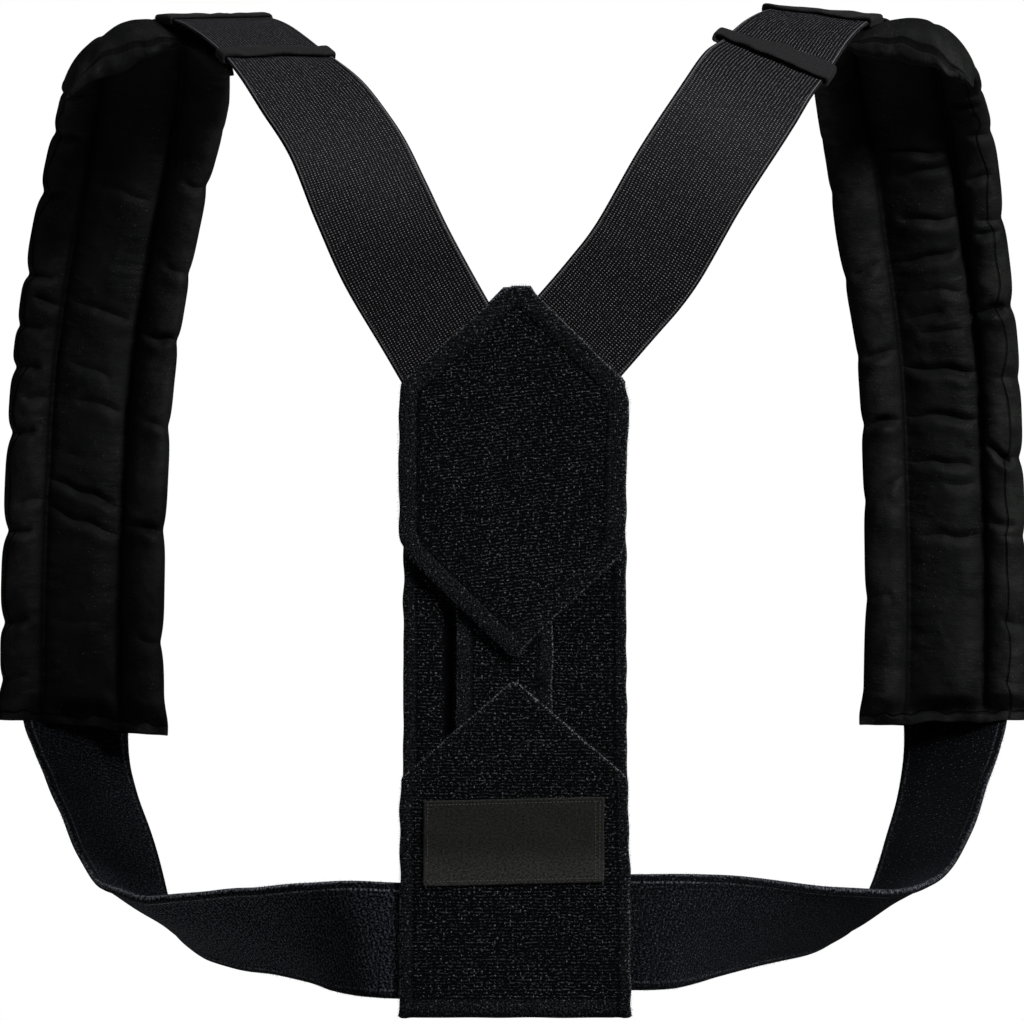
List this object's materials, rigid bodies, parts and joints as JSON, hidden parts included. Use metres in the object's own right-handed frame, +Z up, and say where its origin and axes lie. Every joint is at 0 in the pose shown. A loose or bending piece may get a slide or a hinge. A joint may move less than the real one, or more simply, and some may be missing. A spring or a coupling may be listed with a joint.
{
  "type": "posture corrector",
  "caption": "Worn posture corrector: folded back panel with flaps, elastic shoulder straps over padded channelled sleeves, and lower straps that pass under the arms.",
  "frame": {"origin": "the seat on the wearer's shoulders: midway between the two shoulders at the height where the pads cross them", "axes": "+Z up, +Y the way the wearer faces, from the back panel to the front of the pads, +X to the wearer's right when seen from behind"},
  "size_m": [0.4774, 0.196, 0.4476],
  "materials": {
    "loop_velour": "black brushed loop velour with fine courses, matt",
    "strap_velour": "blue-black loop velour, rounded fuzzy edges, matt",
    "elastic_webbing": "woven elastic with fine ribs, soft sheen",
    "pad_fabric": "smooth tightly woven cotton over soft filling, puckered at the seams",
    "keeper_binding": "plain woven binding tape, matt",
    "woven_label": "bare satin-woven label, low sheen"
  },
  "bodies": {
    "root": {"back_panel": "loop_velour", "upper_flap": "loop_velour", "centre_strip": "loop_velour", "label_patch": "woven_label", "elastic_strap_left": "elastic_webbing", "elastic_strap_right": "elastic_webbing", "lower_strap_left": "strap_velour", "lower_strap_right": "strap_velour", "shoulder_pad_left": "pad_fabric", "shoulder_pad_right": "pad_fabric", "keeper_rear_left": "keeper_binding", "keeper_rear_right": "keeper_binding", "keeper_top_left": "keeper_binding", "keeper_top_right": "keeper_binding", "keeper_front_left": "keeper_binding", "keeper_front_right": "keeper_binding"}
  },
  "joints": []
}
